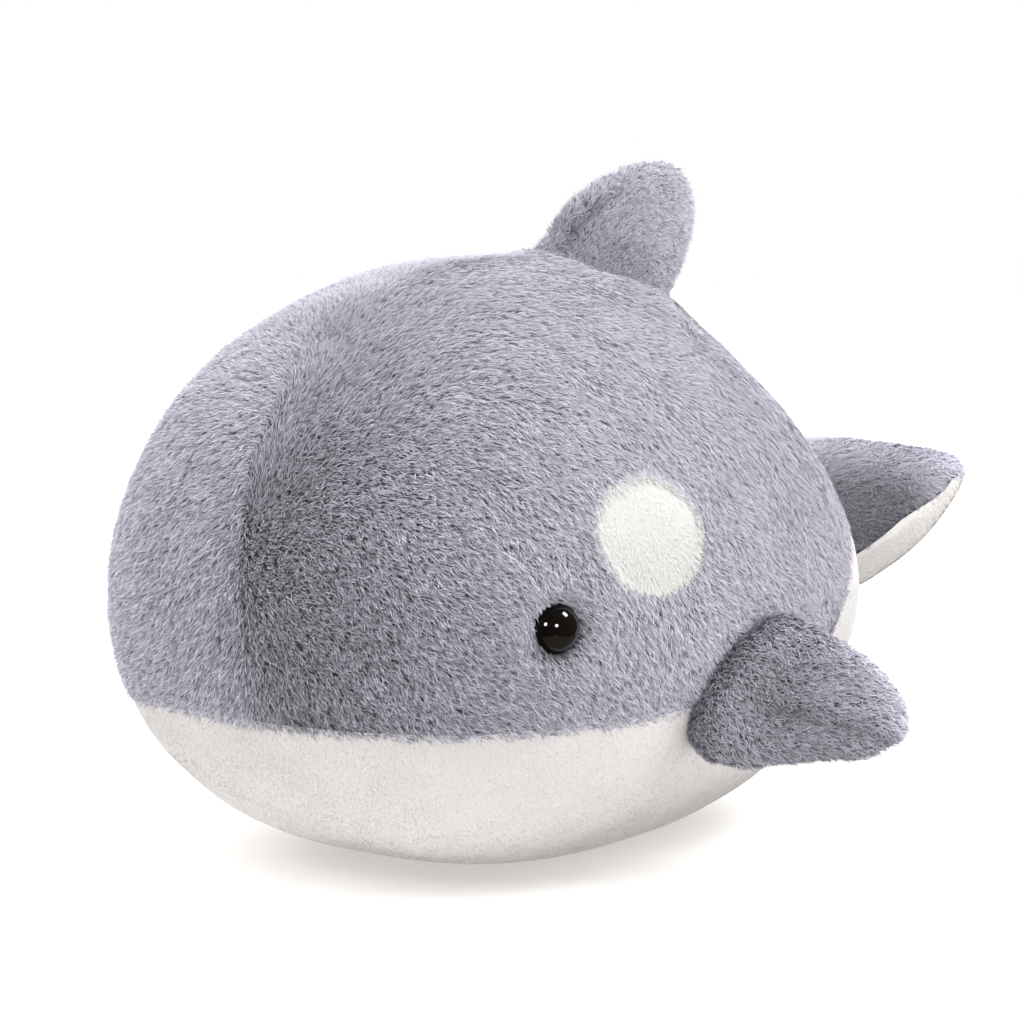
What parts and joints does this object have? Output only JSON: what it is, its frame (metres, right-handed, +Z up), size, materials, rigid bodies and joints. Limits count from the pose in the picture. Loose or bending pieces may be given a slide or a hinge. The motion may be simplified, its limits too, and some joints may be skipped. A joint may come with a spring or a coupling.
{
  "type": "plush whale",
  "caption": "Round stuffed plush whale with sewn flippers, dorsal fin, raised tail flukes, safety eyes and white eye patches; rests on its white belly.",
  "frame": {"origin": "on the surface that the belly rests on, under the middle of the body", "axes": "+Z up, the face looks along -Y and the tail points along +Y, the whale's left side is +X"},
  "size_m": [0.3554, 0.3863, 0.2672],
  "materials": {
    "grey_plush": "short dense grey plush pile",
    "white_plush": "short dense off-white plush pile",
    "filling": "loose polyester fibre filling",
    "eye_plastic": "polished black plastic",
    "washer_plastic": "plain moulded white plastic"
  },
  "bodies": {
    "body": {"back_panel_left": "grey_plush", "back_panel_right": "grey_plush", "belly_panel": "white_plush", "body_stuffing": "filling", "eye_patch_left": "white_plush", "eye_patch_right": "white_plush", "eye_left": "eye_plastic", "eye_right": "eye_plastic", "eye_washer_left": "washer_plastic", "eye_washer_right": "washer_plastic"},
    "flipper_left": {"flipper_left_front_panel": "grey_plush", "flipper_left_back_panel": "grey_plush", "flipper_left_stuffing": "filling"},
    "flipper_right": {"flipper_right_front_panel": "grey_plush", "flipper_right_back_panel": "grey_plush", "flipper_right_stuffing": "filling"},
    "dorsal_fin": {"dorsal_fin_panel_left": "grey_plush", "dorsal_fin_panel_right": "grey_plush", "dorsal_fin_stuffing": "filling"},
    "tail": {"tail_top_panel": "grey_plush", "tail_bottom_panel": "white_plush", "tail_stuffing": "filling"}
  },
  "joints": [
    {"name": "flipper_left_flap", "type": "hinge", "parent": "body", "child": "flipper_left", "pos_m": [0.12468, -0.00204, 0.07006], "axis": [-0.1915, -0.6677, -0.7193], "range_deg": [-12, 25], "stiffness_Nm_per_rad": 0.15},
    {"name": "flipper_right_flap", "type": "hinge", "parent": "body", "child": "flipper_right", "pos_m": [-0.12468, -0.00204, 0.07006], "axis": [-0.1915, 0.6677, 0.7193], "range_deg": [-12, 25], "stiffness_Nm_per_rad": 0.15},
    {"name": "dorsal_fin_tilt", "type": "hinge", "parent": "body", "child": "dorsal_fin", "pos_m": [0, 0.072, 0.20739], "axis": [0, 0.8892, -0.4575], "range_deg": [-15, 15], "stiffness_Nm_per_rad": 0.2},
    {"name": "tail_bend", "type": "hinge", "parent": "body", "child": "tail", "pos_m": [0, 0.18012, 0.09156], "axis": [1, 0, 0], "range_deg": [-20, 12], "stiffness_Nm_per_rad": 0.8}
  ]
}
